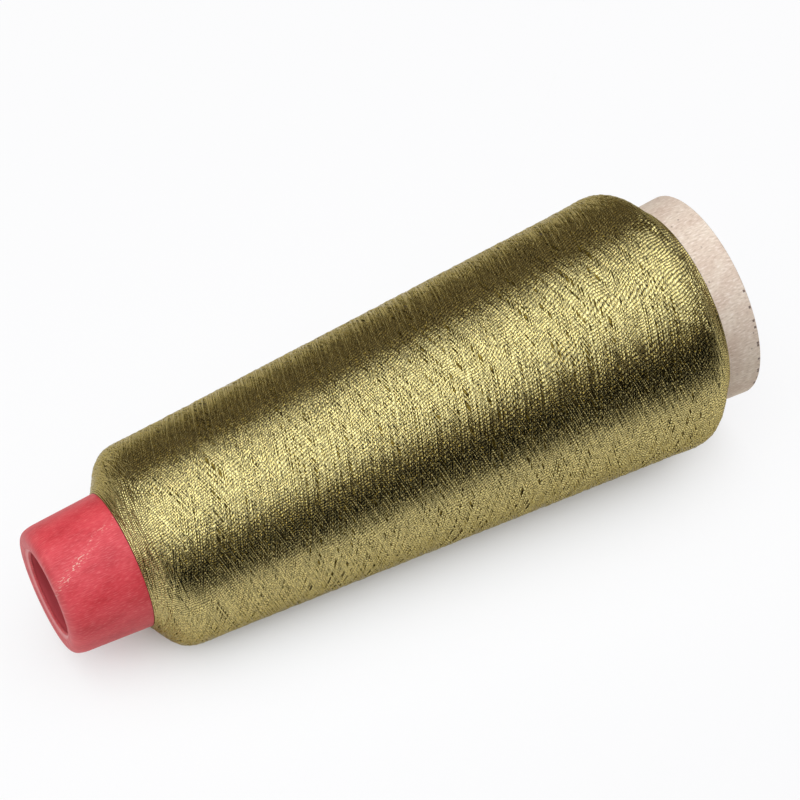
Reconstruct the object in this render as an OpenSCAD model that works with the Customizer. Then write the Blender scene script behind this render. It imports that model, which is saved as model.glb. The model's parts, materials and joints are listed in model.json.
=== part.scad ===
// Cone of thread: a laminated paper cone with a turned-in, dyed nose, and a cross-wound package of
// thread on it. The cone lies on its side, on the flat that its own weight presses into the thread.
//
// Row frame, in millimetres: +Z up, the surface that the package lies on is z = 0, the base of the
// cone points to +X and its nose to -X. The origin is the middle of the footprint.
// Each piece is a revolve made in the cone's own frame and laid down by lay(). There the axis is Z,
// the base plane is z = 0 and the nose points to +Z. A profile holds points [radius, height].

/* [Cone] */
// Half angle of the cone in degrees, 3.5 being one of the standard tapers
cone_angle = 3.5; // [3:0.05:4.2]
// Length of the finished cone along its axis
cone_l = 170; // [150:1:200]
// Outside diameter that the taper would reach at the nose, were the nose not turned in
nose_d = 29.5; // [24:0.1:40]
// Thickness of one of the three glued paper plies
ply_t = 0.53; // [0.4:0.01:0.8]
// Flat that the burnished rounding of the rim leaves on the edge of the outer ply
rim_land = 0.08; // [0.05:0.01:0.2]

/* [Turned-in nose] */
// Outside radius of the first, gentle bend of the wall
bend_r = 9.4; // [6:0.1:12]
// Angle in degrees that the first bend turns the wall through
bend_angle = 14; // [5:1:30]
// Inside radius of the two tight folds of the lip
fold_r = 0.36; // [0.1:0.02:0.8]
// Flat crest of the lip between its two folds
lip_land = 1; // [0.2:0.05:2]
// Length of the straight turned-in edge that lines the throat
throat_l = 4.5; // [3:0.1:8]

/* [Dye lacquer on the nose] */
// Thickness of the film
dye_t = 0.2; // [0.1:0.01:0.3]
// Length of the film that is hidden under the thread
dye_cover = 2.6; // [0.5:0.1:10]
// Angle in degrees that the film reaches round the lip, past its crest
dye_wrap = 60; // [30:1:60]

/* [Thread package] */
// Bare paper from the base to the foot of the thread
base_gap = 8.2; // [3:0.1:12]
// Bare nose from the lip to the foot of the thread
nose_gap = 18.2; // [12:0.1:30]
// Thickness of the wound thread, square to the cone
wound_t = 7.8; // [5:0.1:12]
// Length of the sloping shoulder at the base end, along the axis
base_shoulder_l = 6.5; // [5:0.1:14]
// Length of the sloping shoulder at the nose end, along the axis
nose_shoulder_l = 5.1; // [4:0.1:12]
// Rounding of the corner between the base shoulder and the outside
base_shoulder_r = 8.5; // [4:0.5:14]
// Rounding of the corner between the nose shoulder and the outside
nose_shoulder_r = 7.5; // [3:0.5:10]
// Width of the collar that the reversing thread builds up at each end
collar_w = 6; // [4:0.5:12]
// Height that the corners of the package swell above its straight outside
edge_swell = 0.25; // [0:0.05:0.5]
// Depth of the flat that the package rests on
flat_depth = 0.5; // [0.3:0.05:0.6]

/* [Outer winding] */
// Diameter of the thread
thread_d = 0.4; // [0.3:0.05:0.6]
// Loops of the outer layer, half of them towards the base and half of them back over those
loops = 24; // [8:2:24]
// Clear gap where the second pass crosses over the first
cross_gap = 0.47; // [0.45:0.01:0.6]
// Clearance between the first pass and the wound core
seat_gap = 0.1; // [0.05:0.01:0.2]
// Radius of the bend that turns each end of the thread into the collar
end_bend_r = 1.2; // [0.8:0.1:2]

/* [Hidden] */

// Fineness: sides of a revolve, steps in an arc of a profile, rings in a loop and sides of a tube
revolve_sides = 96;
arc_steps = 12;
loop_rings = 24;
tube_sides = 6;
end_bend_rings = 4;

// Paper cone
plies = 3;
wall_t = plies * ply_t;
lip_r = fold_r + wall_t;
bend_end = cone_angle + bend_angle;
base_r = nose_d / 2 + cone_l * tan(cone_angle);
bend_z = cone_l - bend_r * (sin(bend_end) - sin(cone_angle)) - lip_r * (1 - sin(bend_end));
bend_c = [cone_r(bend_z) - bend_r * cos(cone_angle), bend_z - bend_r * sin(cone_angle)];
outer_fold_c = bend_c + (bend_r - lip_r) * [cos(bend_end), sin(bend_end)];
inner_fold_c = outer_fold_c - [lip_land, 0];
throat_r = inner_fold_c[0] - lip_r;
rim_r = (ply_t - rim_land * cos(cone_angle)) / (1 + sin(cone_angle));
rim_c = [cone_r(rim_r) - rim_r / cos(cone_angle), rim_r];

// Thread package: the two ends of its foot and of the recess that the outer winding lies in
foot_base_z = base_gap;
foot_nose_z = cone_l - nose_gap;
dye_z = foot_nose_z - dye_cover;
corner_base_z = foot_base_z + base_shoulder_l;
corner_nose_z = foot_nose_z - nose_shoulder_l;
base_turn = atan2(outer_rise(foot_base_z, corner_base_z), base_shoulder_l) + cone_angle;
nose_turn = atan2(outer_rise(foot_nose_z, corner_nose_z), nose_shoulder_l) - cone_angle;
recess_base_z = corner_base_z + base_shoulder_r * tan(base_turn / 2) + collar_w;
recess_nose_z = corner_nose_z - nose_shoulder_r * tan(nose_turn / 2) - collar_w;

// Depths below the full package, square to the axis: the middle of the thread in the second and
// the first pass, at the middle of a straight stretch between two rings, and the recess
second_pass = (flat_depth + thread_d / 2) / cos(cone_angle);
first_pass = second_pass + thread_d + cross_gap;
recess = first_pass + thread_d / 2 + seat_gap;
chord = cos(180 / loop_rings);

// Traverse of the winding. It starts and ends at the nose collar, on the side away from +Z, and a
// straight stretch between two rings is its lowest part, so that no ring reaches below the flat.
pass_loops = loops / 2;
start_angle = 180 - 360 / loop_rings * 5.5;
traverse_nose_z = recess_nose_z - thread_d - end_bend_r;
traverse_base_z = recess_base_z + thread_d + end_bend_r;
reversal = 0.25;
pitch = (traverse_nose_z - traverse_base_z) / (pass_loops - reversal / 2);

// Place of the cone: the middle of its base plane, from the furthest points of lip and rim
base_height = base_r * cos(cone_angle) + wound_t - flat_depth;
lip_reach = outer_fold_c[1] * cos(cone_angle) + outer_fold_c[0] * sin(cone_angle) + lip_r + dye_t;
rim_reach = rim_c[0] * sin(cone_angle) - rim_c[1] * cos(cone_angle) + rim_r;
base_x = (lip_reach - rim_reach) / 2;

// Outside radius of the bare cone, of the full package and of its swollen corners at a height
function cone_r(z) = base_r - z * tan(cone_angle);
function package_r(z) = cone_r(z) + wound_t / cos(cone_angle);
function corner_r(z) = package_r(z) + edge_swell;

// Radial rise of a shoulder from its foot to its corner
function outer_rise(foot_z, corner_z) = corner_r(corner_z) - cone_r(foot_z);

// Points on an arc about c from angle a0 to a1, both ends included
function arc(c, r, a0, a1) =
    [for (i = [0:arc_steps]) let (a = a0 + (a1 - a0) * i / arc_steps) c + r * [cos(a), sin(a)]];

function share(x) = min(max(x, 0), 1);
function reversed(list) = [for (i = [len(list) - 1:-1:0]) list[i]];

// Arc of radius r that rounds the corner q between the lines to p and to n
function rounded_corner(p, q, n, r) =
    let (u = (p - q) / norm(p - q), v = (n - q) / norm(n - q))
    let (half = acos(u * v) / 2, middle = (u + v) / norm(u + v))
    let (c = q + middle * r / sin(half))
    let (t0 = q + u * r / tan(half) - c, t1 = q + v * r / tan(half) - c)
    let (a0 = atan2(t0[1], t0[0]), turn = atan2(t1[1], t1[0]) - a0)
    arc(c, r, a0, a0 + turn - 360 * round(turn / 360));

// The turned-in nose at a depth below the outside of the wall, as far round the lip as the dye
function nose_line(depth) = concat(
    arc(bend_c, bend_r - depth, cone_angle, bend_end),
    arc(outer_fold_c, lip_r - depth, bend_end, 90),
    arc(inner_fold_c, lip_r - depth, 90, 90 + dye_wrap));

// A surface of the whole wall at a depth below its outside, from the base to the turned-in edge.
// The outside itself starts with the rounding of the rim.
function wall_line(depth) = concat(
    depth == 0 ? arc(rim_c, rim_r, -90, cone_angle) : [[base_r - depth / cos(cone_angle), 0]],
    nose_line(depth),
    arc(inner_fold_c, lip_r - depth, 90 + dye_wrap, 180),
    [[throat_r + depth, inner_fold_c[1] - throat_l]]);

// Lays a piece made in the cone's own frame on the surface
module lay() {
    translate([base_x, 0, base_height])
        rotate([0, -90 - cone_angle, 0])
            children();
}

module revolve() {
    rotate_extrude($fn = revolve_sides)
        children();
}

// One glued ply, counted from the outside
module ply(number) {
    lay()
        revolve()
            polygon(concat(wall_line(number * ply_t), reversed(wall_line((number + 1) * ply_t))));
}

module cone_outer_ply() {
    color("#dec8bc")
        ply(0);
}

module cone_middle_ply() {
    color("#cdb5a6")
        ply(1);
}

module cone_inner_ply() {
    color("#d6c0b2")
        ply(2);
}

// Film of dye lacquer over the nose, from under the thread to just inside the lip
module nose_dye_film() {
    outside = concat([[cone_r(dye_z) + dye_t / cos(cone_angle), dye_z]],
                     nose_line(-dye_t));
    inside = concat([[cone_r(dye_z), dye_z]], nose_line(0));
    color("#d23c50")
        lay()
            revolve()
                polygon(concat(outside, reversed(inside)));
}

// The wound package without its outer layer. Its bore fits the cone and the dye film.
module thread_core() {
    base_foot = [cone_r(foot_base_z), foot_base_z];
    base_corner = [corner_r(corner_base_z), corner_base_z];
    nose_corner = [corner_r(corner_nose_z), corner_nose_z];
    base_collar = [package_r(recess_base_z), recess_base_z];
    nose_collar = [package_r(recess_nose_z), recess_nose_z];
    nose_foot = [cone_r(foot_nose_z) + dye_t / cos(cone_angle), foot_nose_z];
    profile = concat(
        [base_foot],
        rounded_corner(base_foot, base_corner, base_collar, base_shoulder_r),
        [base_collar, base_collar - [recess, 0], nose_collar - [recess, 0], nose_collar],
        rounded_corner(nose_collar, nose_corner, nose_foot, nose_shoulder_r),
        [nose_foot,
         [cone_r(dye_z) + dye_t / cos(cone_angle), dye_z],
         [cone_r(dye_z), dye_z]]);
    color("#8f8438")
        intersection() {
            lay()
                revolve()
                    polygon(profile);
            translate([-cone_l, -cone_l / 2, 0])
                cube([2 * cone_l, cone_l, cone_l]);
        }
}

// Height on the cone at a number of loops from the start. The traverse runs to the base and back,
// and a parabola rounds its reversal, within a quarter loop on both sides.
function traverse_z(loop) =
    let (away = abs(loop - pass_loops))
    let (rounded = away < reversal ? away * away / reversal / 2 + reversal / 2 : away)
    traverse_base_z + pitch * (rounded - reversal / 2);

// Depth below the full package, which climbs from the first pass to the second at the reversal
function pass_depth(loop) =
    let (x = share((loop - pass_loops) / reversal / 2 + 0.5))
    first_pass + (second_pass - first_pass) * x * x * (3 - 2 * x);

// Radius at a ring, raised so that the straight stretches between rings keep the pass's depth
function ring_r(z, depth) = (package_r(z) - depth) / chord;
function on_cone(r, angle, z) = [r * cos(angle), r * sin(angle), z];

function loop_point(i) =
    let (loop = i / loop_rings, z = traverse_z(loop))
    on_cone(ring_r(z, pass_depth(loop)), start_angle + 360 * loop, z);

// An end of the thread: straight out of the nose collar for one diameter, then a quarter bend into
// the traverse. side is -1 at the start and 1 at the finish.
function thread_end(side, depth) =
    let (r = ring_r(traverse_nose_z, depth), bend_z = traverse_nose_z + end_bend_r)
    [for (i = [-1:end_bend_rings - 1])
        let (a = 90 * max(i, 0) / end_bend_rings)
        let (across = side * end_bend_r * cos(a) / r * 180 / PI)
        on_cone(r, start_angle + across, i < 0 ? recess_nose_z : bend_z - end_bend_r * sin(a))];

function winding_path() = concat(
    thread_end(-1, first_pass),
    [for (i = [0:loops * loop_rings]) loop_point(i)],
    reversed(thread_end(1, second_pass)));

// Shortest distance between the straight stretches a-b and c-d
function stretch_distance(a, b, c, d) =
    let (u = b - a, v = d - c, w = a - c)
    let (uu = u * u, vv = v * v, uv = u * v, uw = u * w, vw = v * w)
    let (s = share((uv * vw - uw * vv) / (uu * vv - uv * uv + 1e-9)))
    let (t = share((uv * s + vw) / vv))
    norm(w + u * share((uv * t - uw) / uu) - v * t);

// Least clear gap of the thread to itself. It is taken over all pairs of stretches half a loop or
// more apart along the thread that lie near each other.
function least_gap(path) =
    let (last = len(path) - 2)
    min([for (i = [0:last], j = [i + loop_rings / 2:1:last])
        if (abs(path[i][2] - path[j][2]) < pitch) if (norm(path[i] - path[j]) < base_r)
            stretch_distance(path[i], path[i + 1], path[j], path[j + 1])]) - thread_d;

// A ring of the tube about a point of its path, with two of its flats square to the cone's radius
function tube_ring(path, i) =
    let (along = path[min(i + 1, len(path) - 1)] - path[max(i - 1, 0)], t = along / norm(along))
    let (out = [path[i][0], path[i][1], 0], n = out - t * (out * t), side = cross(t, n / norm(n)))
    [for (k = [0:tube_sides - 1])
        let (a = 360 * (k + 0.5) / tube_sides)
        path[i] + thread_d / 2 * (cos(a) * n / norm(n) + sin(a) * side)];

// One closed tube of triangles along a path
module tube(path) {
    last = len(path) - 1;
    function vertex(i, k) = i * tube_sides + k % tube_sides;
    polyhedron(
        [for (i = [0:last]) each tube_ring(path, i)],
        concat(
            [for (i = [0:last - 1], k = [0:tube_sides - 1], half = [0, 1])
                half == 0
                    ? [vertex(i, k), vertex(i, k + 1), vertex(i + 1, k + 1)]
                    : [vertex(i, k), vertex(i + 1, k + 1), vertex(i + 1, k)]],
            [for (k = [1:tube_sides - 2]) [vertex(0, 0), vertex(0, k + 1), vertex(0, k)]],
            [for (k = [1:tube_sides - 2]) [vertex(last, 0), vertex(last, k), vertex(last, k + 1)]]));
}

module thread_winding() {
    path = winding_path();
    echo(least_gap_of_the_winding = least_gap(path));
    color("#c8b95a")
        lay()
            tube(path);
}

cone_inner_ply();
cone_middle_ply();
cone_outer_ply();
nose_dye_film();
thread_core();
thread_winding();
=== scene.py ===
# %% [markdown]
# # A cone of metallic thread
# This lesson dresses a finished CAD model of a thread cone. The model brings the paper cone in three
# plies, the red dye on its nose and plain solids for the wound thread. The plies and the dye keep
# their CAD meshes and get materials. The thread is made again here, in more than a thousand turns.
# Lengths are in metres, +Z is up, and the cone lies along X with its nose towards -X.

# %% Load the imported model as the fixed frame
import json
import math

import bpy
import numpy as np
from mathutils import Matrix, Vector


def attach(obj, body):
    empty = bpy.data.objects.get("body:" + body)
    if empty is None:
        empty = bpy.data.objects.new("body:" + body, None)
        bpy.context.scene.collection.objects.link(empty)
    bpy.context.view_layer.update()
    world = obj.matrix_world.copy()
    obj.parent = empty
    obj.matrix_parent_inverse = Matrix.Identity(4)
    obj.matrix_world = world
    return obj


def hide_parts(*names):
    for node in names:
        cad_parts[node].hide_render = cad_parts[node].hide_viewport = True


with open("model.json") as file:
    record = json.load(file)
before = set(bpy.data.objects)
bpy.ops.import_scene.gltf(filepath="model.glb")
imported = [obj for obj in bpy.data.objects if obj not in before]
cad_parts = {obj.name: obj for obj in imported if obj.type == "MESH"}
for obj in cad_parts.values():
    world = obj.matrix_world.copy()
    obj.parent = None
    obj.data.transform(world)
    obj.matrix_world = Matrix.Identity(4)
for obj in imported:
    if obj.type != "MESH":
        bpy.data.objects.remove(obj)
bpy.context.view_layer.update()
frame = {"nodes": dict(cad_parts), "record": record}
nodes = frame["nodes"]
print("CAD nodes:", sorted(nodes))

# %% [markdown]
# ## The cone's own frame
# A cone of revolution is easiest to describe by a radius and a height along its axis. The height
# runs from the base, at zero, to the nose. Everything new is worked out in this frame and then laid
# on its side. These sizes are the CAD model's own, so what is made here fits it. The base's centre
# is where the axis through the throat meets the plane of the rim.

# %% Sizes of the cone and the thread package
MM = 0.001
TAPER = math.radians(3.5)
CONE_LENGTH = 170 * MM
NOSE_RADIUS = 14.75 * MM
BASE_RADIUS = NOSE_RADIUS + CONE_LENGTH * math.tan(TAPER)
# Heights of the foot, corner and collar of the thread at either end
FOOT_BASE, CORNER_BASE, COLLAR_BASE = 8.2 * MM, 14.7 * MM, 25 * MM
COLLAR_NOSE, CORNER_NOSE, FOOT_NOSE = 137 * MM, 146.7 * MM, 151.8 * MM
# Thickness of the wound thread and its swelling at the corners
WOUND, SWELL = 7.8 * MM, 0.25 * MM
# Thickness of the dye and how far it goes on under the thread
DYE, DYE_COVER = 0.2 * MM, 2.6 * MM
mounts = {mount["name"]: mount for mount in frame["record"]["mounts"]}
throat, rim = [np.array(mounts[name]["pos_m"]) for name in ("nose_throat", "base_rim")]
axis = np.array(mounts["nose_throat"]["axis"])
BASE_CENTRE = (throat + axis * np.dot(rim - throat, axis))[[0, 2]].tolist()


def cone_radius(height):
    """Radius of the bare cone: the base radius less the height times the tangent of the taper."""
    return BASE_RADIUS - height * math.tan(TAPER)


def lay_down(radius, angle, height):
    """Rows of x, y, z on the table. The angle is zero on top of the lying cone and half a turn
    below. The axis leaves the base's centre and sinks towards the nose by the taper."""
    across, side = radius * np.cos(angle), radius * np.sin(angle)
    x = BASE_CENTRE[0] - height * math.cos(TAPER) - across * math.sin(TAPER)
    z = BASE_CENTRE[1] - height * math.sin(TAPER) + across * math.cos(TAPER)
    return np.stack([x, side, z], axis=-1)


print("base radius in mm:", round(BASE_RADIUS / MM, 3))
print("base centre, x and z in mm:", [round(v / MM, 3) for v in BASE_CENTRE])

# %% [markdown]
# ## Camera
# The view is a long lens, high above the table and a little to the nose's side. A camera looks along
# its own -Z, so its matrix holds three directions, right, up and backwards, and then its place.

# %% Place the camera
camera_data = bpy.data.cameras.new("camera")
camera_data.lens = 133.85
camera_data.sensor_width = 36
camera_data.clip_start, camera_data.clip_end = 0.01, 20
camera = bpy.data.objects.new("camera", camera_data)
bpy.context.scene.collection.objects.link(camera)
right, up, back = (0.87491, -0.48428, 0), (0.35621, 0.64358, 0.67743), (-0.32809, -0.59269, 0.73559)
place = (-216.11 * MM, -396.61 * MM, 530.57 * MM)
rows = [[right[i], up[i], back[i], place[i]] for i in range(3)] + [[0, 0, 0, 1]]
camera.matrix_world = Matrix(rows)
bpy.context.scene.camera = camera
print("camera is", round(math.dist(place, (0, 0, 0.03)), 3), "m from the thread")

# %% [markdown]
# ## Materials are small node graphs
# A material is a graph of nodes, and two helpers are enough to write one down. The first turns the
# hex colours that a designer writes into the linear numbers that a renderer adds up. The second adds
# any node and gives back one of its outputs, so that a graph reads as a chain of calls.

# %% Colour and node helpers
def linear(hex_colour):
    """sRGB hex to linear RGBA: below 0.04045 divide by 12.92, above it raise to the power 2.4."""
    srgb = [int(hex_colour[i:i + 2], 16) / 255 for i in (1, 3, 5)]
    return [c / 12.92 if c <= 0.04045 else ((c + 0.055) / 1.055) ** 2.4 for c in srgb] + [1]


def add(tree, kind, *given, output=0, stops=(), **settings):
    """Adds one shader node. Its inputs are given in order, or in a dict by name or number, each as a
    value, a hex colour or another node's output. Stops are the positions of a colour ramp, each with
    a hex colour or a grey level."""
    node = tree.nodes.new("ShaderNode" + kind)
    for name, value in settings.items():
        setattr(node, name, value)
    inputs = given[0] if given and isinstance(given[0], dict) else dict(enumerate(given))
    for key, value in inputs.items():
        if isinstance(value, bpy.types.NodeSocket):
            tree.links.new(value, node.inputs[key])
        else:
            node.inputs[key].default_value = linear(value) if isinstance(value, str) else value
    elements = node.color_ramp.elements if stops else []
    while len(elements) < len(stops):
        elements.new(0.5)
    for element, (position, colour) in zip(elements, stops):
        element.position = position
        element.color = linear(colour) if isinstance(colour, str) else [colour] * 3 + [1]
    return node.outputs[output] if node.outputs else None


def new_material(name):
    """A material and its empty node tree."""
    material = bpy.data.materials.new(name)
    material.use_nodes = True
    material.node_tree.nodes.clear()
    return material, material.node_tree


print("white is", [round(c, 3) for c in linear("#ffffff")])

# %% [markdown]
# ## New pieces are grids of points
# Shapes could be modelled by hand or built up from primitives. Here each is a formula on a grid, so
# that it follows the sizes above. One helper puts rows of points and faces into a mesh whose object
# stays at the origin.

# %% Mesh helper
def mesh_object(name, points, faces):
    """A smooth mesh object at the origin, from rows of points and rows of corner numbers."""
    mesh = bpy.data.meshes.new(name)
    mesh.from_pydata(points.reshape(-1, 3).tolist(), [], faces)
    mesh.polygons.foreach_set("use_smooth", np.ones(len(mesh.polygons), dtype=bool))
    mesh.update()
    made = bpy.data.objects.new(name, mesh)
    bpy.context.scene.collection.objects.link(made)
    return made


# %% [markdown]
# ## Table
# The table is a wide sheet of matt card, which gives the eye an even white and a soft shadow. More
# light would make it white too, but would bleach the thread. So the camera, and whatever shines,
# see a glow mixed into the card, by the share of the sky that is open over it. The lamps' shadow
# stays, and less glow where the sky is closed off adds painted shade, darkest where the thread
# touches the card. Farther away what shines sees less of the glow.

# %% Table of matt card
# Half of the table's side in metres, so long that its edge is hardly seen
TABLE_HALF = 60
# Within this distance, in metres, nearby things close off the sky over the card
SKY_REACH = 0.1


def table_card():
    """Matt card mixed with a glow. The share of glow is a curve of the open sky, times one for
    camera rays, and for glossy and transmission rays times a fade from 0.3 to 1 m away."""
    material, tree = new_material("table_card")
    matt = add(tree, "BsdfDiffuse", {"Color": "#f8f5ee"})
    glow = add(tree, "Emission", {"Color": "#fcfcfd", "Strength": 1})
    rays = add(tree, "LightPath").node.outputs
    away = add(tree, "VectorMath", add(tree, "NewGeometry", output="Position"),
               output="Value", operation="LENGTH")
    fade = add(tree, "MapRange", {"Value": away, "From Min": 0.3, "From Max": 1.0, "To Min": 0.5,
                                  "To Max": 0.15})
    # Painted shade: less glow where nearby things close off the sky, darkest at the contact
    sky = add(tree, "AmbientOcclusion", {"Distance": SKY_REACH}, output="AO", samples=8)
    lift = add(tree, "ValToRGB", sky, stops=((0.12, 0.05), (0.3, 0.48), (0.6, 0.78), (1.0, 0.96)))
    shiny = add(tree, "Math", rays["Is Glossy Ray"], rays["Is Transmission Ray"], operation="ADD")
    shiny = add(tree, "Math", shiny, fade, operation="MULTIPLY")
    seen = add(tree, "Math", rays["Is Camera Ray"], shiny, operation="ADD")
    share = add(tree, "Math", seen, lift, operation="MULTIPLY")
    add(tree, "OutputMaterial", add(tree, "MixShader", share, matt, glow))
    return material


corners = TABLE_HALF * np.array([[-1, -1, 0], [1, -1, 0], [1, 1, 0], [-1, 1, 0]], dtype=float)
table = mesh_object("table", corners, [[0, 1, 2, 3]])
table.data.materials.append(table_card())
print("table is", 2 * TABLE_HALF, "m wide")

# %% [markdown]
# ## Softboxes
# Metal shows what stands round it, so the lamps are large. A wide softbox above, with a second one
# just under it that makes its middle brighter, gives the broad bright band along the thread. A small
# one beyond the nose lights the shoulder there. They are a little blue, as the room is warm.

# %% Softboxes
LAMP_COLOUR = "#eef5ff"


def softbox(name, centre, width, length, radiance):
    """A rectangle of light that faces the origin. Its power is pi times area times radiance."""
    data = bpy.data.lights.new(name, "AREA")
    data.color = linear(LAMP_COLOUR)[:3]
    data.shape, data.size, data.size_y = "RECTANGLE", length, width
    data.energy = math.pi * width * length * radiance
    made = bpy.data.objects.new(name, data)
    bpy.context.scene.collection.objects.link(made)
    made.location = centre
    made.rotation_euler = Vector(centre).to_track_quat("Z", "Y").to_euler()
    made.visible_camera = False


softbox("softbox", (0, -0.11, 0.644), 1.1, 0.9, 1.9)
softbox("softbox_middle", (0, -0.109, 0.638), 0.55, 0.9, 0.9)
softbox("end_softbox", (-0.62, -0.12, 0.4), 0.5, 0.5, 1.5)
print("lamp power in W:", {lamp.name: round(lamp.energy, 2) for lamp in bpy.data.lights})

# %% [markdown]
# ## Black flag
# A studio puts a strip of black card beside shiny things, so that a dark line draws their shape.
# The flag here gives the dark band below the bright one, and the table between it and the thread
# gives the glow lower down.

# %% Black flag
def black_flag(half_width=0.8, y=-0.13, height=0.09):
    """An upright rectangle in front of the thread, which casts no shadow and which the camera
    doesn't see."""
    points = np.array([[-half_width, y, 0], [half_width, y, 0], [half_width, y, height],
                       [-half_width, y, height]])
    material, tree = new_material("black_flag")
    add(tree, "OutputMaterial", add(tree, "BsdfDiffuse", {"Color": "#101010"}))
    made = mesh_object("black_flag", points, [[0, 1, 2, 3]])
    made.data.materials.append(material)
    made.visible_camera = made.visible_shadow = False
    return made


flag = black_flag()
print("flag:", [round(size / MM) for size in flag.dimensions], "mm")

# %% [markdown]
# ## Dim room
# The world stands for the rest of the room, a warm and dim grey. It gives the dark band above the
# bright one and keeps the shadows open. The Standard view shows each colour as it was written.

# %% Dim room
world = bpy.data.worlds.new("dim_room")
bpy.context.scene.world = world
world.use_nodes = True
room = world.node_tree.nodes["Background"].inputs
room["Color"].default_value = linear("#fff0d8")
room["Strength"].default_value = 0.2
bpy.context.scene.view_settings.view_transform = "Standard"
print("strength of the room:", round(room["Strength"].default_value, 2))

# %% [markdown]
# ## The outline of the package
# A thread package is built on the cone in layers whose ends step back, so each end has a sloping
# shoulder and a rounded corner. It could be lofted from circles, but a line is easier to measure
# along. So the outline below is one line of radius against height, with its slope, and everything
# wound is then placed by its distance along that line.

# %% Outline of the package with rounded corners
CORNER_ROUND = 4.2 * MM


def unit(rows):
    """Each row divided by its own length."""
    return rows / np.linalg.norm(rows, axis=-1, keepdims=True)


def run_length(points):
    """Length along a line of points up to each of them: the running sum of its steps."""
    return np.concatenate([[0], np.cumsum(np.linalg.norm(np.diff(points, axis=0), axis=1))])


def outline(steps=1600, curve_steps=24):
    """Feet, corners and collars joined by straight lines, then rounded. Each corner is a quadratic
    Bezier curve between the points on its two lines that lie CORNER_ROUND before and after it."""
    heights = np.array([FOOT_BASE, CORNER_BASE, COLLAR_BASE, COLLAR_NOSE, CORNER_NOSE, FOOT_NOSE])
    wound = WOUND / math.cos(TAPER)
    above = np.array([0, wound + SWELL, wound, wound, wound + SWELL, DYE])
    points = np.stack([cone_radius(heights) + above, heights], axis=-1)
    curve = np.linspace(0, 1, curve_steps)[:, None]
    line = [points[:1]]
    for before, corner, after in zip(points, points[1:], points[2:]):
        start = corner + unit(before - corner) * CORNER_ROUND
        end = corner + unit(after - corner) * CORNER_ROUND
        line.append((1 - curve) ** 2 * start + 2 * curve * (1 - curve) * corner + curve ** 2 * end)
    line = np.concatenate(line + [points[-1:]])
    length = run_length(line)
    along = np.linspace(0, length[-1], steps)
    return along, np.interp(along, length, line[:, 0]), np.interp(along, length, line[:, 1])


ALONG, OUT_RADIUS, OUT_HEIGHT = outline()
LAST = ALONG[-1]
SLOPE = unit(np.stack([np.gradient(OUT_RADIUS, ALONG), np.gradient(OUT_HEIGHT, ALONG)], axis=-1))
print("outline of", round(LAST / MM, 1), "mm, widest radius", round(OUT_RADIUS.max() / MM, 2), "mm")

# %% [markdown]
# ## Places on the package
# Thread could be laid on the package by casting rays at it. A formula is quicker and never misses:
# it looks up the outline at a distance, goes down by a depth and turns the place round the axis.

# %% Place on the package
def on_package(along, angle, depth):
    """Points at a distance along the outline, an angle round it and a depth under it, with the
    outward direction there: the outline's slope turned by a quarter, then turned round the axis."""
    slope_r, slope_h = np.interp(along, ALONG, SLOPE[:, 0]), np.interp(along, ALONG, SLOPE[:, 1])
    radius = np.interp(along, ALONG, OUT_RADIUS) - depth * slope_h
    height = np.interp(along, ALONG, OUT_HEIGHT) + depth * slope_r
    centre = lay_down(0, angle, 0 * height)
    return lay_down(radius, angle, height), lay_down(slope_h, angle, -slope_r) - centre


top_middle, _ = on_package(LAST / 2, 0.0, 0.0)
print("top of the middle at x, y, z in mm:", (top_middle / MM).round(2).tolist())

# %% [markdown]
# ## The bed of wound thread
# Under the outermost turns lie many more. They could be turns too, but only slits of them show, so
# they are one closed surface of revolution a little under the outline, pressed flat where the
# package rests.

# %% Bed under the outer turns
BED_DEPTH, BED_LIFT, BED_INSET = 0.42 * MM, 0.35 * MM, 0.5 * MM


def package_bed(rings=200, sides=192, bore_rings=8):
    """A grid of distance along the outline and angle round it, closed by a bore that follows the
    cone from BED_INSET inside either foot. The depth runs out within 1 mm of the feet. Points below
    the table are lifted to BED_LIFT above it."""
    along = np.linspace(0, LAST, rings)[:, None] + np.zeros((1, sides))
    angle = np.linspace(0, 2 * math.pi, sides, endpoint=False)[None, :] + 0 * along
    from_foot = np.minimum(along, LAST - along)
    skin, _ = on_package(along, angle, BED_DEPTH * np.clip(from_foot / MM, 0, 1))
    bore_height = np.linspace(FOOT_NOSE - BED_INSET, FOOT_BASE + BED_INSET, bore_rings)[:, None]
    bore_height = bore_height + np.zeros((1, sides))
    bore_radius = cone_radius(bore_height) + DYE * (bore_height > FOOT_NOSE - DYE_COVER)
    points = np.concatenate([skin, lay_down(bore_radius, angle[:bore_rings], bore_height)])
    points[..., 2] = np.maximum(points[..., 2], BED_LIFT)
    ring, side = np.meshgrid(np.arange(len(points)), np.arange(sides), indexing="ij")
    here, ahead, beside = ring * sides, (ring + 1) % len(points) * sides, (side + 1) % sides
    faces = np.stack([here + side, here + beside, ahead + beside, ahead + side], axis=-1)
    return mesh_object("thread_bed", points, faces.reshape(-1, 4).tolist())


bed = package_bed()
print("bed:", len(bed.data.polygons), "faces")

# %% [markdown]
# ## One thread, wound back and forth
# A winding machine lays the thread in long crossing helices: about three turns towards the base,
# a quick reversal, and as many turns back. Each return starts a little further round, so in the end
# the crossings cover the whole package. A machine's thread also wanders a little, and a slow random
# wander is the first thing made here. It is seeded, so that it comes out the same each time.

# %% Slow random wander
def smooth_noise(count, spacing, seed):
    """Random values between -1 and 1 every so many points, joined by cosine easing."""
    values = np.random.default_rng(seed).uniform(-1, 1, count // spacing + 3)
    at = np.arange(count) / spacing
    low = at.astype(int)
    ease = (1 - np.cos(math.pi * (at - low))) / 2
    return values[low] * (1 - ease) + values[low + 1] * ease


print("wander:", smooth_noise(5, 2, 1).round(2).tolist())

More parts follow.
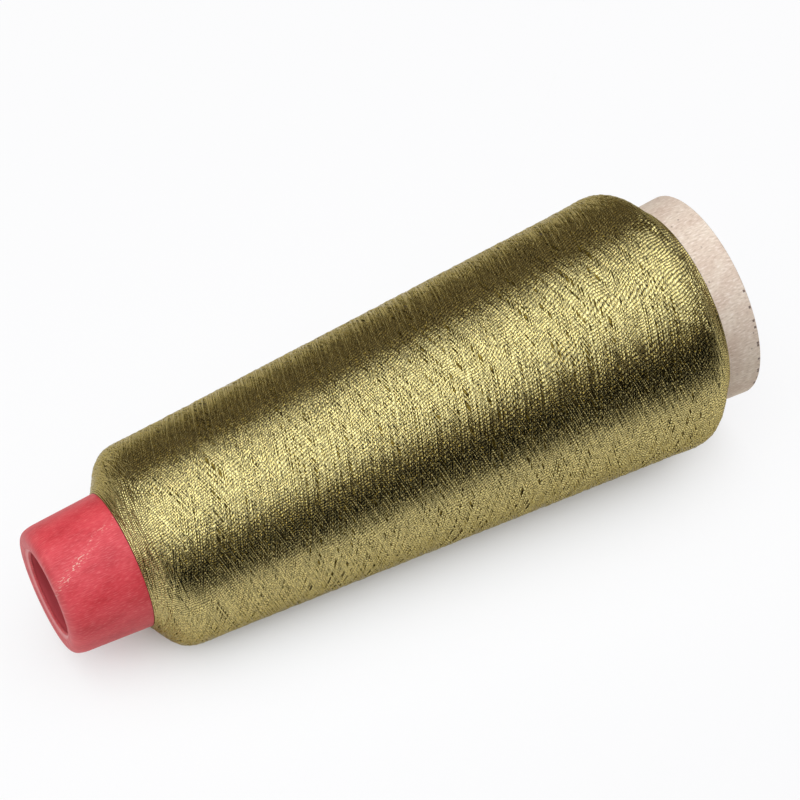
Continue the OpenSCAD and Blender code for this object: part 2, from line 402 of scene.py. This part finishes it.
# %% [markdown]
# ## The path of the thread
# The path is one formula for the distance along the outline, the angle and the depth. Where it
# turns back varies over the shoulder, as in the layers of a real package, and each traverse has a
# layer of its own. Real thread of this kind is about half as wide. As few turns of it would leave
# the package bare, and more turns would make the mesh too heavy.

# %% Path of the winding
THREAD_WIDE, THREAD_HIGH = 0.46 * MM, 0.32 * MM
PAIRS = 196
# Turns in a traverse: three, and a share that moves each pair on to a new place
TURNS = (6 + 87 / PAIRS) / 2
STEPS_A_TURN = 36
# Share of a traverse in which the thread gathers speed, and as much in which it loses it
REVERSAL = 0.055
# It turns back at the first distance from the foot or up to the second farther on, mostly near it
FIRST_REVERSAL, REVERSAL_SPREAD, CROWDING = 0.5 * MM, 11 * MM, 1.6
# At the nose the same distances are shorter by this share
NOSE_SHARE = 0.86
# Wander of the angle in radians, with a new value every half traverse
ANGLE_WANDER = 0.006
# Depth of the layers, the last share of a traverse, in which the layer changes, and a rise and
# fall, as a share of the layers' depth and with a new value every so many steps
LAYERS_DEEP, CHANGE_OVER, RISE_AND_FALL, RISE_STEPS = 0.26 * MM, 0.1, 0.25, 9


def traverse_path(pairs, first_pair):
    """Distance, angle, depth and traverse number at every step of some pairs of traverses. Between
    two turning points the distance eases in and out as a parabola, a line and a parabola. The angle
    grows evenly, and the depth is the thread's half height and a share of the layers."""
    per = int(round(TURNS * STEPS_A_TURN))
    count = 2 * pairs * per + 1
    place = np.arange(count) / per
    index = np.minimum(place.astype(int), 2 * pairs - 1)
    part = place - index
    eased = np.where(part < REVERSAL, part ** 2 / (2 * REVERSAL), part - REVERSAL / 2)
    slowing = 1 - REVERSAL - (1 - part) ** 2 / (2 * REVERSAL)
    eased = np.where(part > 1 - REVERSAL, slowing, eased) / (1 - REVERSAL)
    chance = np.random.default_rng(first_pair + 1)
    reach = chance.uniform(0, 1, 2 * pairs + 1) ** CROWDING * REVERSAL_SPREAD + FIRST_REVERSAL
    nose_end = np.arange(2 * pairs + 1) % 2 == 1
    turning = np.where(nose_end, LAST - reach * NOSE_SHARE, reach)
    along = turning[index] + (turning[index + 1] - turning[index]) * eased
    angle = 2 * math.pi * TURNS * (place + 2 * first_pair)
    angle = angle + smooth_noise(count, per // 2, first_pair + 2) * ANGLE_WANDER
    layers = chance.uniform(0, 1, 2 * pairs + 2)
    change = np.clip((part - (1 - CHANGE_OVER)) / CHANGE_OVER, 0, 1)
    layer = layers[index] + (layers[index + 1] - layers[index]) * change
    layer = layer + RISE_AND_FALL * smooth_noise(count, RISE_STEPS, first_pair + 3)
    depth = THREAD_HIGH / 2 + LAYERS_DEEP * np.clip(layer, 0, 1)
    return along, angle, depth, index + 2 * first_pair


print("turns:", round(2 * PAIRS * TURNS), "coil pitch in mm:", round(LAST / TURNS / MM, 1))

# %% [markdown]
# ## From path to thread
# A thread could be a curve with a bevel, but that twists at reversals and can't be pressed flat. Here
# it is a six-sided closed tube carried along its path. The side directions come from the way the
# path runs and from the package's outward direction, so that the tube never twists. It is pressed
# flatter on the package and is rounder where it is loose, on the shoulders.

# %% Tube along a path
# The thread is round up to 10 mm from either end of the outline, and flat from 13 mm on
ROUND_ENDS, FLATTENING = 13 * MM, 3 * MM
# Gap between thread and table, and how much of their depth the lower turns keep where they lie on it
TABLE_GAP, KEPT_DEPTH = 0.02 * MM, 0.5


def thread_tube(name, along, angle, depth, traverse, sides=6):
    """Rings of points centre + cos a * high * outward + sin a * wide * sideways, where sideways is
    the cross product of the run and the outward direction, and wide and high are half of the
    thread's. Where a ring would go through the table, it is lifted onto it."""
    centre, outward = on_package(along, angle, depth)
    loose = np.clip((ROUND_ENDS - np.minimum(along, LAST - along)) / FLATTENING, 0, 1)
    high = THREAD_HIGH + (THREAD_WIDE - THREAD_HIGH) * loose
    lowest = high / 2 + KEPT_DEPTH * np.maximum(depth - THREAD_HIGH / 2, 0) + TABLE_GAP
    centre[:, 2] = np.maximum(centre[:, 2], lowest)
    run = unit(np.gradient(centre, axis=0))
    outward = unit(outward - run * (outward * run).sum(axis=1, keepdims=True))
    sideways = np.cross(run, outward)
    turn = np.arange(sides) * 2 * math.pi / sides
    rise = high[:, None, None] / 2 * np.cos(turn)[None, :, None] * outward[:, None, :]
    spread = THREAD_WIDE / 2 * np.sin(turn)[None, :, None] * sideways[:, None, :]
    points = centre[:, None, :] + rise + spread
    ring, side = np.meshgrid(np.arange(len(along) - 1), np.arange(sides), indexing="ij")
    here, ahead, beside = ring * sides, (ring + 1) * sides, (side + 1) % sides
    quads = np.stack([here + side, here + beside, ahead + beside, ahead + side], axis=-1)
    ends = [list(range(sides))[::-1], [(len(along) - 1) * sides + n for n in range(sides)]]
    made = mesh_object(name, points, quads.reshape(-1, 4).tolist() + ends)
    length = run_length(centre)
    add_maps(made, length, angle, along, traverse, ring, side, sides)
    return made, length[-1]


GIRTH = math.pi * (THREAD_WIDE + THREAD_HIGH) / 2
print("girth of the thread in mm:", round(GIRTH / MM, 2))

# %% [markdown]
# ## Two maps on the tube
# A pattern that follows the thread needs coordinates that run with it. The first map counts the wraps
# of film along the thread. Every turn has the same count, because neighbours on a real package drift
# so slowly that their wraps line up in patches, and the count is slanted a little along the package.
# The second map lays the tube out in rows, so that an export can paint it.

# %% Maps for the film and for an export
WRAPS_A_TURN = 250
WRAP_SLANT = 0.47 / MM
# Margins on both sides of a tube's strip, as shares of its width in either map
RUN_MARGIN, BAKE_MARGIN = 0.02, 0.04


def add_maps(made, length, angle, along, traverse, ring, side, sides):
    """Corner values of both maps. ThreadRun holds the wraps, which are the turns times WRAPS_A_TURN
    and the slant, against the traverse number plus the share of the way round. In OFBake a row holds
    as many rings as make it about as long as all the rows are high together."""
    wraps = angle * WRAPS_A_TURN / (2 * math.pi) + along * WRAP_SLANT
    rows = max(1, round(math.sqrt(length[-1] / GIRTH)))
    per_row = math.ceil((len(length) - 1) / rows)
    ring, round_tube = ring[..., None], (side[..., None] + np.array([0, 1, 1, 0])) / sides
    ahead = np.array([0, 0, 1, 1])
    share = RUN_MARGIN + (1 - 2 * RUN_MARGIN) * round_tube
    run = np.stack([wraps[ring + ahead], traverse[ring] + share], axis=-1)
    down = ring // per_row + BAKE_MARGIN + (1 - 2 * BAKE_MARGIN) * round_tube
    layout = np.stack([(ring % per_row + ahead) / per_row, down / rows], axis=-1)
    for name, values in (("ThreadRun", run), ("OFBake", layout)):
        layer = made.data.uv_layers.new(name=name)
        flat = np.concatenate([values.reshape(-1, 2), np.zeros((2 * sides, 2))])
        layer.data.foreach_set("uv", flat.astype(np.float32).ravel())


print("a wrap at the widest is", round(2 * math.pi * OUT_RADIUS.max() / WRAPS_A_TURN / MM, 2), "mm")

# %% [markdown]
# ## Winding the thread
# The real thread is one piece. It is cut into four runs here, because one mesh of all its turns would
# be too heavy to keep whole. Each run starts at the angle at which the one before it stops.

# %% Wind the thread
RUNS = 4
threads = []
total = 0
for number in range(RUNS):
    pairs = PAIRS // RUNS
    made, length = thread_tube(f"thread_turns_{number + 1}", *traverse_path(pairs, number * pairs))
    threads.append(made)
    total += length
print("wound:", round(total, 1), "m in", len(threads), "runs,",
      [len(t.data.polygons) for t in threads], "faces")

# %% [markdown]
# ## Turns on the shoulders
# Where the traverse turns back, the thread runs nearly straight round. The shoulders are made of
# such turns, so each gets a close spiral under the reversals, from the foot up to the corner.

# %% Spirals on both shoulders
SPIRAL_PITCH, SPIRAL_STEPS = 0.48 * MM, 64
# Where the spirals start and end, as distances from the end of the outline
SPIRAL_START, BASE_END, NOSE_END = 0.28 * MM, 15 * MM, 13 * MM
# Wander along the outline, with a new value every so many steps
SIDE_WANDER, SIDE_STEPS = 0.12 * MM, 23
# Depth under the outermost turns and its wander, with a new value every so many steps
SPIRAL_DEPTH, DEPTH_WANDER, DEPTH_STEPS = 0.18 * MM, 0.1 * MM, 17


def shoulder_spiral(name, start, end, seed):
    """One turn at the foot, then the distance grows evenly with the angle by SPIRAL_PITCH a turn. The
    wander and the depth grow from nothing over two turns, so that the foot has a clean edge."""
    turns = 1 + abs(end - start) / SPIRAL_PITCH
    count = int(turns * SPIRAL_STEPS)
    turn = np.linspace(0, turns, count)
    free = np.clip((turn - 1) / 2, 0, 1)
    along = start + (end - start) * np.clip((turn - 1) / (turns - 1), 0, 1)
    along = along + SIDE_WANDER * free * smooth_noise(count, SIDE_STEPS, seed)
    deeper = SPIRAL_DEPTH + DEPTH_WANDER * smooth_noise(count, DEPTH_STEPS, seed + 1)
    depth = THREAD_HIGH / 2 + free * deeper
    return thread_tube(name, along, 2 * math.pi * turn, depth, seed + turn.astype(int))


for name, start, end, seed in (
        ("thread_base_shoulder", SPIRAL_START, BASE_END, 1000),
        ("thread_nose_shoulder", LAST - SPIRAL_START, LAST - NOSE_END, 2000)):
    made, length = shoulder_spiral(name, start, end, seed)
    threads.append(made)
    print(name, round(length, 2), "m")

# %% [markdown]
# ## Metallic thread
# The real thread is a core yarn wrapped in a ribbon of polyester film, made metallic with aluminium
# and dyed gold by a lacquer. The eye gets sharp glints where a flat of the ribbon faces the light
# and dark slits between its wraps and beside its turns. A real wrap is about 0.3 mm long. It is drawn
# two to three times as long here, because the view would smear anything finer into a plain colour.
# A noise alone would look like sand, so the pattern starts from a count of the wraps.

# %% Wraps of film
# Waves a metre of the slow noise, which are 9 mm long
DRIFT_WAVES = 110.0


def film_wraps(tree):
    """The part of a wrap, the wrap, the traverse and the share of the way round the tube. The count
    of wraps is bent by up to 5 of them by a slow noise with waves of 9 mm, and moved on by up to 0.3
    wrap by chance on each traverse and by 0.4 wrap round the tube, so that its lines run as a
    helix."""
    wraps, lane, _ = add(tree, "SeparateXYZ", add(tree, "UVMap", uv_map="ThreadRun")).node.outputs
    traverse = add(tree, "Math", lane, operation="FLOOR")
    share = add(tree, "Math", lane, operation="FRACT")
    own = add(tree, "TexWhiteNoise", {"W": traverse}, noise_dimensions="1D")
    drift = add(tree, "TexNoise", {"Vector": add(tree, "TexCoord", output="Object"),
                                   "Scale": DRIFT_WAVES, "Detail": 1.0})
    phase = add(tree, "Math", drift, 5.0, wraps, operation="MULTIPLY_ADD")
    phase = add(tree, "Math", own, 0.3, phase, operation="MULTIPLY_ADD")
    phase = add(tree, "Math", share, 0.4, phase, operation="MULTIPLY_ADD")
    part = add(tree, "Math", phase, operation="FRACT")
    wrap = add(tree, "Math", phase, operation="FLOOR")
    return part, wrap, traverse, share


print("waves of the slow noise:", round(1 / DRIFT_WAVES / MM, 1), "mm")

# %% [markdown]
# ## Gold film
# Metallised film is a mirror with a dye over it. A metal takes its tint from its base colour, and a
# thin clear coat stands for the lacquer. Every wrap faces another way, so it would catch more or less
# light, and that is painted as a lighter or darker shade of its own; bump rounds it off.

# %% Gold film thread
def film_thread():
    """The colour is a ramp over a wrap, from the dark slit, partly the dark core showing and partly
    painted shade, to its pale middle, a painted highlight, and back, times a painted lighter or
    darker shade that chance gives the wrap, times painted shade on the inner side of the tube."""
    material, tree = new_material("gold_film_thread")
    part, wrap, traverse, share = film_wraps(tree)
    chance = add(tree, "TexWhiteNoise", {"Vector": add(tree, "CombineXYZ", wrap, traverse)})
    # Painted shade darkens the slits between wraps, and a painted highlight makes each wrap's middle
    # pale
    film = add(tree, "ValToRGB", part, stops=(
        (0.0, "#120c02"), (0.08, "#1d1504"), (0.26, "#edd98a"), (0.5, "#fdf1b2"),
        (0.76, "#edd57c"), (0.94, "#1d1504")))
    # Painted light: each wrap is made lighter or darker by chance, as if it faced the lamps more or
    # less
    shade = add(tree, "MapRange", {"Value": chance, "To Min": 0.48, "To Max": 0.88})
    # Painted shade: the inner side of the tube is darker, where the turns beside it would shade it
    outer = add(tree, "Math", share, 2.0, -1.0, operation="MULTIPLY_ADD")
    outer = add(tree, "Math", outer, operation="ABSOLUTE")
    painted_side_shade = add(tree, "ValToRGB", outer, stops=((0.2, 0.1), (0.6, 1.0)))
    lit = add(tree, "Math", shade, painted_side_shade, operation="MULTIPLY")
    colour = add(tree, "VectorMath", {0: film, 3: lit}, operation="SCALE")
    round_off = add(tree, "ValToRGB", part, stops=(
        (0.0, 0.0), (0.25, 0.8), (0.5, 1.0), (0.75, 0.8), (1.0, 0.0)))
    height = add(tree, "Math", round_off, chance, operation="MULTIPLY")
    bump = add(tree, "Bump", {"Strength": 1.0, "Distance": 0.035 * MM, "Height": height})
    add(tree, "OutputMaterial", add(tree, "BsdfPrincipled", {
        "Base Color": colour, "Metallic": 1.0, "Roughness": 0.2, "Coat Weight": 0.3,
        "Coat Roughness": 0.12, "Specular Tint": "#c8ba8a", "Normal": bump}))
    return material


gold_thread = film_thread()
for made in threads:
    made.data.materials.append(gold_thread)
print("film thread:", len(gold_thread.node_tree.nodes), "nodes on", len(threads), "pieces")

# %% [markdown]
# ## Thread in the shade
# The bed is the same film thread, but little light gets down to it, so its colour is painted shade:
# a brown gold in soft clouds, with nothing sharp in it. Turns could be drawn on it, but a noise is
# enough.

# %% Inner turns
def inner_turns():
    """Metal in clouds of 0.7 mm, a little wider than the thread, from dark brown to dull gold: the
    gold painted darker as shade.
    """
    material, tree = new_material("gold_thread_inner_turns")
    clouds = add(tree, "TexNoise", {"Vector": add(tree, "TexCoord", output="Object"),
                                    "Scale": 1500.0, "Detail": 2.0})
    # Painted shade: the gold is darkened to brown, as little light reaches the inner turns
    colour = add(tree, "ValToRGB", clouds, stops=((0.4, "#3a2f13"), (0.6, "#84702f")))
    bump = add(tree, "Bump", {"Strength": 1.0, "Distance": 0.2 * MM, "Height": clouds})
    add(tree, "OutputMaterial", add(tree, "BsdfPrincipled", {
        "Base Color": colour, "Metallic": 1.0, "Roughness": 0.4, "Normal": bump}))
    return material


bed.data.materials.append(inner_turns())
print("bed:", bed.data.materials[0].name)

# %% [markdown]
# ## Paper in the cone's own coordinates
# Paper has a grain, and here it runs along the cone. A pattern can only follow it in coordinates that
# run with the cone. A map could hold them, but these pieces keep their own meshes, so a few nodes
# undo the laying down. They give the height from the base, the way round the axis and the distance
# from it, all in millimetres. A noise stretched in these coordinates is the grain.

# %% Cone coordinates for shaders
# Radius in mm at which the way round is measured, halfway between the nose's and the base's
ARC_RADIUS = 20.0
# Going round, the grain shifts along the cone by this share, as strips of paper wind on at a slant
GRAIN_SHIFT = 0.17


def cone_space(tree):
    """Sockets for the height, the arc at ARC_RADIUS and the distance from the axis, in mm. The
    mapping takes the base's centre away, turns by the taper and scales to millimetres."""
    mapped = add(tree, "Mapping", {
        "Vector": add(tree, "TexCoord", output="Object"),
        "Location": (BASE_CENTRE[0], 0, BASE_CENTRE[1]), "Rotation": (0, -TAPER, 0),
        "Scale": (MM, MM, MM)}, vector_type="TEXTURE")
    x, y, z = add(tree, "SeparateXYZ", mapped).node.outputs
    height = add(tree, "Math", x, -1.0, operation="MULTIPLY")
    angle = add(tree, "Math", y, z, operation="ARCTAN2")
    arc = add(tree, "Math", angle, ARC_RADIUS, operation="MULTIPLY")
    radius = add(tree, "VectorMath", add(tree, "CombineXYZ", y, z), output="Value",
                 operation="LENGTH")
    return height, arc, radius


def grain(tree, height, arc, along, across, detail=3.0):
    """Noise between 0 and 1, with so many waves a millimetre along the cone and across it, at the
    place (height + arc * GRAIN_SHIFT) * along, arc * across."""
    lengthwise = add(tree, "Math", height, along, operation="MULTIPLY")
    lengthwise = add(tree, "Math", arc, GRAIN_SHIFT * along, lengthwise, operation="MULTIPLY_ADD")
    sideways = add(tree, "Math", arc, across, operation="MULTIPLY")
    place = add(tree, "CombineXYZ", lengthwise, sideways)
    return add(tree, "TexNoise", {"Vector": place, "Scale": 1.0, "Detail": detail})


print("half a turn is an arc of", round(math.pi * ARC_RADIUS, 1), "mm")

# %% [markdown]
# ## Kraft board
# The cone is wound from kraft board, pressed from recycled pulp: matt and pinkish, with stray fibres,
# pale and dark, in it. The tool that cut the base left a row of small burnt marks along the rim. A
# picture of paper could be wrapped round it, but patterns need no file and can be tied to sizes. The
# way round jumps underneath, where the cone lies, so their seam is out of sight. The marks come
# first.

# %% Marks along the rim
# Dots in a millimetre of the arc
RIM_DOTS = 0.45


def rim_marks(tree, height, arc):
    """Dots 2.2 mm apart round the cone, times a band from 0.2 to 0.95 mm from the rim, times the
    side on which the arc is below -15 mm."""
    dots = add(tree, "TexVoronoi", {"W": arc, "Scale": RIM_DOTS}, voronoi_dimensions="1D")
    dots = add(tree, "ValToRGB", dots, stops=((0.08, 1.0), (0.13, 0.0)))
    band = add(tree, "ValToRGB", height, stops=((0.2, 0.0), (0.4, 1.0), (0.75, 1.0), (0.95, 0.0)))
    marks = add(tree, "Math", dots, band, operation="MULTIPLY")
    side = add(tree, "Math", arc, -28.0, operation="DIVIDE")
    side = add(tree, "ValToRGB", side, stops=((0.52, 0.0), (0.56, 0.9)))
    return add(tree, "Math", marks, side, operation="MULTIPLY")


print("dots of the rim:", round(1 / RIM_DOTS, 1), "mm apart")

# %% [markdown]
# ## Board of the three plies
# Real fibres are thinner than the view can show, so they are drawn 0.3 mm wide. Each layer of colour
# is mixed over the ones before: in a Mix node inputs 6 and 7 are its two colours, and output 2 is
# the result. The three plies differ in their tones and in how much dye ran into them.

# %% Kraft board
def kraft_board(name, pale, dark, stain=None):
    """Clouds of 5 to 6 mm, fibres of 1.3 by 0.3 mm, specks 2.5 mm apart and the marks of the rim. A
    stain grows from 150 to 163 mm up the cone, where the dye ran in over the lip."""
    material, tree = new_material(name)
    height, arc, _ = cone_space(tree)
    clouds = grain(tree, height, arc, 0.16, 0.2, 5.0)
    colour = add(tree, "ValToRGB", clouds, stops=((0.35, dark), (0.65, pale)))
    fibres = grain(tree, height, arc, 0.8, 3.0)
    pale_fibres = add(tree, "ValToRGB", fibres, stops=((0.52, 0.0), (0.7, 0.6)))
    dark_fibres = add(tree, "ValToRGB", fibres, stops=((0.3, 0.6), (0.46, 0.0)))
    cells = add(tree, "TexVoronoi", {"Vector": add(tree, "CombineXYZ", height, arc), "Scale": 0.4})
    specks = add(tree, "ValToRGB", cells, stops=((0.04, 0.7), (0.12, 0.0)))
    layers = [(pale_fibres, "#f3e6dc"), (dark_fibres, "#b09583"), (specks, "#7c665c"),
              (rim_marks(tree, height, arc), "#5b463d")]
    if stain:
        inside = add(tree, "MapRange", {"Value": height, "From Min": 150, "From Max": 163})
        layers.append((inside, stain))
    for share, shade in layers:
        colour = add(tree, "Mix", {0: share, 6: colour, 7: shade}, output=2, data_type="RGBA")
    bump = add(tree, "Bump", {"Strength": 1.0, "Distance": 0.05 * MM, "Height": fibres})
    add(tree, "OutputMaterial", add(tree, "BsdfPrincipled", {
        "Base Color": colour, "Roughness": 0.75, "Specular IOR Level": 0.3, "Normal": bump}))
    return material


for name, pale, dark, stain in (("cone_outer_ply", "#dccab6", "#cfb7a3", "#be464c"),
                                ("cone_middle_ply", "#cdb5a6", "#bfa797", None),
                                ("cone_inner_ply", "#d6c0b2", "#c8b0a1", "#8e3a3a")):
    nodes[name].data.materials.clear()
    nodes[name].data.materials.append(kraft_board("kraft_" + name, pale, dark, stain))
print("kraft:", [m.name for m in bpy.data.materials if m.name.startswith("kraft")])

# %% [markdown]
# ## Dye on the nose
# The nose was dipped in a thin red lacquer that marks the kind of cone. One long scuff slants up to
# its lip, where the lacquer came off in patches. It could be painted by hand, but a line and two
# noises give it the same broken edge.

# %% Long scuff
# The scuff is the line where arc + SCUFF_SLOPE * height = SCUFF_AT, in mm
SCUFF_SLOPE, SCUFF_AT = 0.719, 108.7


def long_scuff(tree, height, arc):
    """How near the line is, most up to 0.6 mm and nothing from 2 mm, times worn spots of 0.9 by
    0.4 mm, times patches of 3 mm."""
    across = add(tree, "Math", arc, -SCUFF_AT, operation="ADD")
    across = add(tree, "Math", height, SCUFF_SLOPE, across, operation="MULTIPLY_ADD")
    across = add(tree, "Math", across, operation="ABSOLUTE")
    across = add(tree, "Math", across, 0.5, operation="MULTIPLY")
    near_line = add(tree, "ValToRGB", across, stops=((0.3, 0.8), (1.0, 0.0)))
    worn = grain(tree, height, arc, 1.1, 2.6, 2.0)
    worn = add(tree, "ValToRGB", worn, stops=((0.56, 0.0), (0.62, 1.0)))
    patches = grain(tree, height, arc, 0.3, 0.3, 1.0)
    patches = add(tree, "ValToRGB", patches, stops=((0.42, 0.1), (0.52, 1.0)))
    spots = add(tree, "Math", near_line, worn, operation="MULTIPLY")
    return add(tree, "Math", spots, patches, operation="MULTIPLY")


print("slant of the scuff:", round(math.degrees(math.atan(SCUFF_SLOPE)), 1), "degrees")

# %% [markdown]
# ## Red lacquer
# The lacquer soaks in unevenly and dries dull. So the eye gets a red in clouds with a faint sheen,
# and the grain of the board shows through as fine lines. It is rubbed thin on the lip, and a narrow
# ring along its inner edge is paler. The grain is the one of the board, so that both look like one
# paper.

# %% Red lacquer
def red_lacquer():
    """Clouds of 5 to 8 mm, lines of 1.4 by 0.3 mm, the scuff, the lip rubbed from 167.5 mm up, and
    the pale ridge along its inner edge, 10.1 to 11 mm from the axis."""
    material, tree = new_material("red_lacquer")
    height, arc, radius = cone_space(tree)
    clouds = grain(tree, height, arc, 0.12, 0.22, 5.0)
    colour = add(tree, "ValToRGB", clouds, stops=((0.3, "#be2f37"), (0.5, "#cc3b42"),
                                                  (0.7, "#d4474d")))
    lines = grain(tree, height, arc, 0.7, 3.4, 4.0)
    pale_lines = add(tree, "ValToRGB", lines, stops=((0.5, 0.0), (0.72, 0.26)))
    dark_lines = add(tree, "ValToRGB", lines, stops=((0.28, 0.5), (0.46, 0.0)))
    lip = add(tree, "MapRange", {"Value": height, "From Min": 167.5, "From Max": 169.8,
                                 "To Max": 0.12})
    rubbed = add(tree, "Math", lip, grain(tree, height, arc, 0.3, 0.5), operation="MULTIPLY")
    ridge = add(tree, "Math", radius, 20.0, operation="DIVIDE")
    ridge = add(tree, "ValToRGB", ridge, stops=((0.505, 0.0), (0.515, 0.6), (0.53, 0.4),
                                                (0.55, 0.0)))
    for share, shade in ((pale_lines, "#ef9a92"), (dark_lines, "#b02f37"),
                         (long_scuff(tree, height, arc), "#d8b7a4"), (rubbed, "#efb4b2"),
                         (ridge, "#f0b6b4")):
        colour = add(tree, "Mix", {0: share, 6: colour, 7: shade}, output=2, data_type="RGBA")
    bump = add(tree, "Bump", {"Strength": 1.0, "Distance": 0.06 * MM, "Height": lines})
    add(tree, "OutputMaterial", add(tree, "BsdfPrincipled", {
        "Base Color": colour, "Roughness": 0.5, "Specular IOR Level": 0.35, "Normal": bump}))
    return material


nodes["nose_dye_film"].data.materials.clear()
nodes["nose_dye_film"].data.materials.append(red_lacquer())
print("dye:", nodes["nose_dye_film"].data.materials[0].name)

# %% [markdown]
# ## What stands for what
# The thread made here replaces the two plain solids of the CAD model. Nothing on a cone moves by
# itself, so everything rides on the part's one body.

# %% Replace the plain solids and finish
for piece in threads + [bed]:
    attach(piece, "root")
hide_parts("thread_core")
for piece in threads:
    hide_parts("thread_winding")
